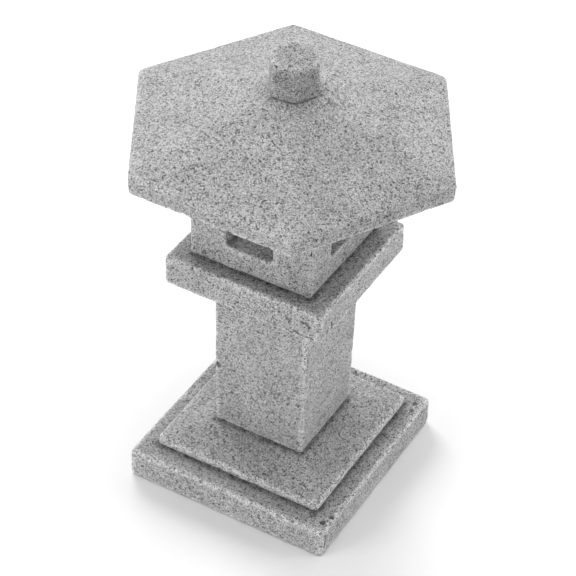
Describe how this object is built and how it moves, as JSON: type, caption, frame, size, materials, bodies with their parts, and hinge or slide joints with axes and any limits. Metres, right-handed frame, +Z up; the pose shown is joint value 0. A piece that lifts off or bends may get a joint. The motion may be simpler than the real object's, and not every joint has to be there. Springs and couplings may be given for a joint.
{
  "type": "stone garden lantern",
  "caption": "Small stacked stone lantern: square stepped base, square post and platform, hollow light box with windows, and a low six-sided roof with a blocky finial.",
  "frame": {"origin": "middle of the base slab's underside, on the ground", "axes": "+Z up through the stack; the square stones' faces look along +X, -X, +Y and -Y, and two of the roof's corners point along +X and -X"},
  "size_m": [0.3096, 0.2696, 0.45],
  "materials": {
    "base_slab_stone": "Fine-grained grey granite, dressed but not polished; light grey ground with dark mica specks and small pits",
    "base_plinth_stone": "Fine-grained grey granite, dressed but not polished; light grey ground with dark mica specks and small pits",
    "post_stone": "Fine-grained grey granite, dressed but not polished; light grey ground with dark mica specks and small pits",
    "platform_stone": "Fine-grained grey granite, dressed but not polished; light grey ground with dark mica specks and small pits",
    "light_box_stone": "Fine-grained grey granite, dressed but not polished; light grey ground with dark mica specks and small pits",
    "roof_stone": "Fine-grained grey granite, dressed but not polished; light grey ground with dark mica specks and small pits",
    "finial_stone": "Fine-grained grey granite, dressed but not polished; light grey ground with dark mica specks and small pits"
  },
  "bodies": {
    "base_slab": {"base_slab": "base_slab_stone"},
    "base_plinth": {"base_plinth": "base_plinth_stone"},
    "post": {"post": "post_stone"},
    "platform": {"platform": "platform_stone"},
    "light_box": {"light_box": "light_box_stone"},
    "roof": {"roof": "roof_stone"},
    "finial": {"finial": "finial_stone"}
  },
  "joints": [
    {"name": "base_plinth_lift", "type": "slide", "parent": "base_slab", "child": "base_plinth", "axis": [0, 0, 1], "range_m": [0, 0.06]},
    {"name": "post_lift", "type": "slide", "parent": "base_plinth", "child": "post", "axis": [0, 0, 1], "range_m": [0, 0.06]},
    {"name": "platform_lift", "type": "slide", "parent": "post", "child": "platform", "axis": [0, 0, 1], "range_m": [0, 0.06]},
    {"name": "light_box_lift", "type": "slide", "parent": "platform", "child": "light_box", "axis": [0, 0, 1], "range_m": [0, 0.06]},
    {"name": "roof_lift", "type": "slide", "parent": "light_box", "child": "roof", "axis": [0, 0, 1], "range_m": [0, 0.12]},
    {"name": "finial_lift", "type": "slide", "parent": "roof", "child": "finial", "axis": [0, 0, 1], "range_m": [0, 0.06]}
  ]
}
